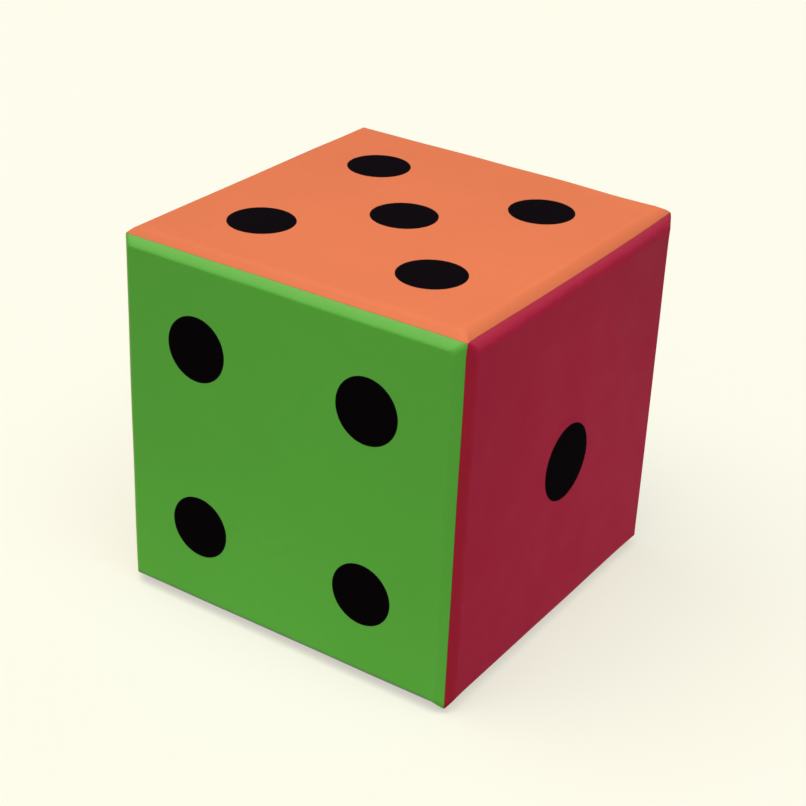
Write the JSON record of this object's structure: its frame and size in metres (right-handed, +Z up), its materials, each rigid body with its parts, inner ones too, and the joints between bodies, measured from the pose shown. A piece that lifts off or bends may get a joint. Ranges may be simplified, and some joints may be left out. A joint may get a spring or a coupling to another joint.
{
  "type": "giant lawn die",
  "caption": "Large soft playing die for lawn games: laminated foam cube in a sewn coated cover with a coloured panel and flush black pips on each face, closed by a zip.",
  "frame": {"origin": "centre of the bottom face, on the surface that the die rests on", "axes": "+Z up, out of the five-pip face; -Y out of the four-pip face; +X out of the one-pip face"},
  "size_m": [0.3, 0.3, 0.3],
  "materials": {
    "cover_top": "smooth matte orange coated sheet",
    "cover_front": "smooth matte green coated sheet",
    "cover_right": "smooth matte crimson coated sheet",
    "cover_back": "smooth matte blue coated sheet",
    "cover_left": "smooth matte yellow coated sheet",
    "cover_bottom": "smooth matte purple coated sheet",
    "foam": "closed-cell polyethylene foam, cut surface",
    "pip_black": "matte black coated sheet, welded flush",
    "thread": "bonded polyester sewing thread, dark",
    "zip_tape": "woven polyester zip tape, black",
    "zip_teeth": "black nylon zip teeth",
    "zip_metal": "black lacquered zinc"
  },
  "bodies": {
    "die": {"cover_panel_back": "cover_back", "cover_panel_bottom": "cover_bottom", "cover_panel_front": "cover_front", "cover_panel_left": "cover_left", "cover_panel_right": "cover_right", "cover_panel_top": "cover_top", "foam_plank_1": "foam", "foam_plank_2": "foam", "foam_plank_3": "foam", "foam_plank_4": "foam", "foam_plank_5": "foam", "foam_plank_6": "foam", "pip_back_lower": "pip_black", "pip_back_middle": "pip_black", "pip_back_upper": "pip_black", "pip_bottom_back_right": "pip_black", "pip_bottom_front_left": "pip_black", "pip_front_lower_left": "pip_black", "pip_front_lower_right": "pip_black", "pip_front_upper_left": "pip_black", "pip_front_upper_right": "pip_black", "pip_left_lower_back": "pip_black", "pip_left_lower_front": "pip_black", "pip_left_middle_back": "pip_black", "pip_left_middle_front": "pip_black", "pip_left_upper_back": "pip_black", "pip_left_upper_front": "pip_black", "pip_right_large": "pip_black", "pip_top_back_left": "pip_black", "pip_top_back_right": "pip_black", "pip_top_front_left": "pip_black", "pip_top_front_right": "pip_black", "pip_top_middle": "pip_black", "seam_thread_back_left": "thread", "seam_thread_back_right": "thread", "seam_thread_bottom_back": "thread", "seam_thread_bottom_front": "thread", "seam_thread_bottom_left": "thread", "seam_thread_bottom_right": "thread", "seam_thread_front_left": "thread", "seam_thread_front_right": "thread", "seam_thread_top_back": "thread", "seam_thread_top_front": "thread", "seam_thread_top_left": "thread", "seam_thread_top_right": "thread", "zip_chain_back": "zip_teeth", "zip_chain_left": "zip_teeth", "zip_stitching_back": "thread", "zip_stitching_left": "thread", "zip_stop_lower": "zip_metal", "zip_stop_upper": "zip_metal", "zip_tape_back": "zip_tape", "zip_tape_left": "zip_tape"},
    "zip_slider": {"zip_slider_body": "zip_metal"},
    "pull_tab": {"zip_pull_tab": "zip_metal"}
  },
  "joints": [
    {"name": "zip_slide", "type": "slide", "parent": "die", "child": "zip_slider", "axis": [0, 0, 1], "range_m": [0, 0.226]},
    {"name": "pull_tab_hinge", "type": "hinge", "parent": "zip_slider", "child": "pull_tab", "pos_m": [-0.14527, 0.14527, 0.0375], "axis": [0.7071, 0.7071, 0], "range_deg": [0, 180]}
  ]
}
